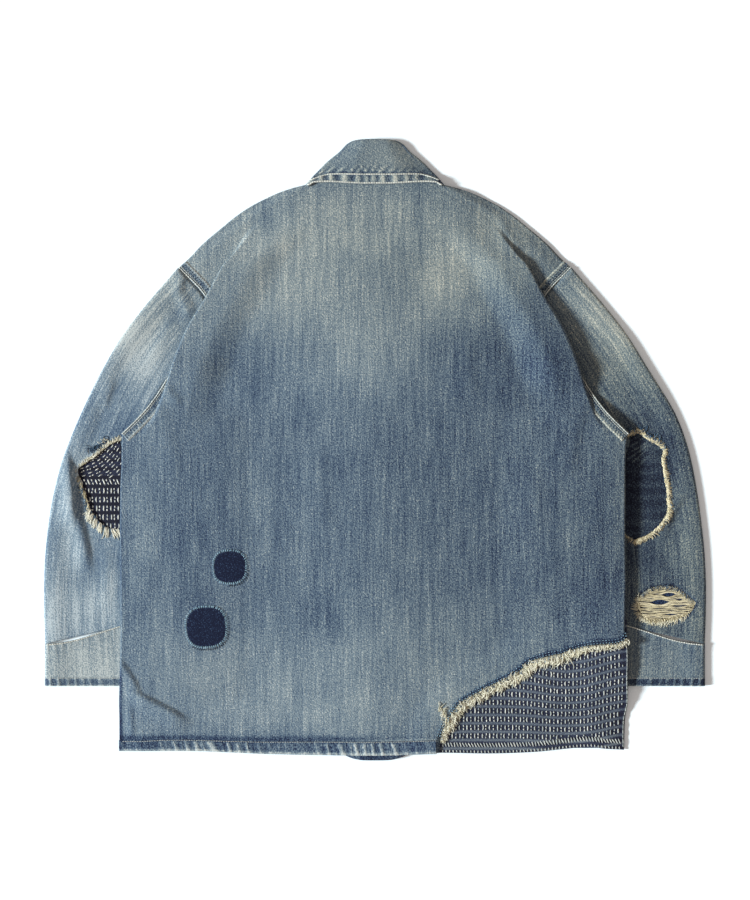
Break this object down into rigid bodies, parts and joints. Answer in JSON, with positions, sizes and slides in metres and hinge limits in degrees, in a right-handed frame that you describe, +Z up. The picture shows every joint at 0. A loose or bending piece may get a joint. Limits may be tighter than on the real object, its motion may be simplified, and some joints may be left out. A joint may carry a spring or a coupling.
{
  "type": "patched denim jacket laid flat",
  "caption": "Worn denim chore jacket laid flat, back up: folded-down collar, long sleeves with torn elbows, stitched and round patches, and a torn hem corner.",
  "frame": {"origin": "centre of the bounding box, on the surface it rests on", "axes": "+Z up out of the surface and out of the jacket's back, +Y from hem to collar, +X to the wearer's right"},
  "size_m": [0.8612, 0.807, 0.0127],
  "materials": {
    "denim": "faded indigo twill, matt",
    "pale_denim": "washed-out indigo twill, matt",
    "stitched_patch": "dark cotton covered in rows of pale running stitch",
    "dark_patch": "unfaded dark cotton, matt",
    "button_metal": "dull and plain"
  },
  "bodies": {
    "root": {"back": "denim", "front_left": "denim", "front_right": "denim", "sleeve_left": "pale_denim", "sleeve_right": "pale_denim", "cuff_left": "pale_denim", "cuff_right": "pale_denim", "collar_fall": "denim", "collar_stand": "denim", "patch_hem_corner": "stitched_patch", "patch_elbow_left": "stitched_patch", "patch_elbow_right": "dark_patch", "patch_round_upper": "dark_patch", "patch_round_lower": "dark_patch", "button_1": "button_metal", "button_2": "button_metal", "button_3": "button_metal", "button_4": "button_metal", "button_5": "button_metal"}
  },
  "joints": []
}
